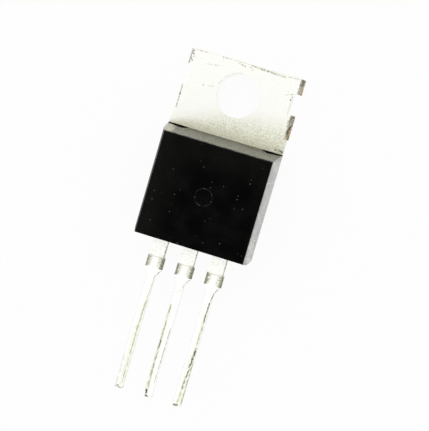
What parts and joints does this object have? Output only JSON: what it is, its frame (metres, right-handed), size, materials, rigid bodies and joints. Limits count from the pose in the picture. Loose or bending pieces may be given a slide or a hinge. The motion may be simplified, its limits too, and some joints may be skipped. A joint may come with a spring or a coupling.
{
  "type": "voltage regulator",
  "caption": "Power voltage regulator with a drafted moulded body, a drilled metal mounting tab and a row of straight flat leads.",
  "frame": {"origin": "centre of the mounting hole on the flat back face of the tab", "axes": "+Z out of the marked face along the hole, +Y from the leads towards the tab's top edge, +X to the right with the marked face up"},
  "size_m": [0.01, 0.0286, 0.0045],
  "materials": {
    "epoxy_moulding": "moulded, satin black",
    "tinned_copper_tab": "matte tin plating on copper, sheared copper edges",
    "tinned_copper_lead": "bright tin plating on copper, cut copper ends",
    "silicon": "polished chip",
    "solder": "dull solder",
    "bond_wire": "drawn wire"
  },
  "bodies": {
    "root": {"moulded_body": "epoxy_moulding", "heat_sink_tab": "tinned_copper_tab", "adjust_lead": "tinned_copper_lead", "output_lead": "tinned_copper_lead", "regulator_die": "silicon", "die_solder": "solder", "adjust_bond_wire": "bond_wire", "output_bond_wire_1": "bond_wire", "output_bond_wire_2": "bond_wire"}
  },
  "joints": []
}
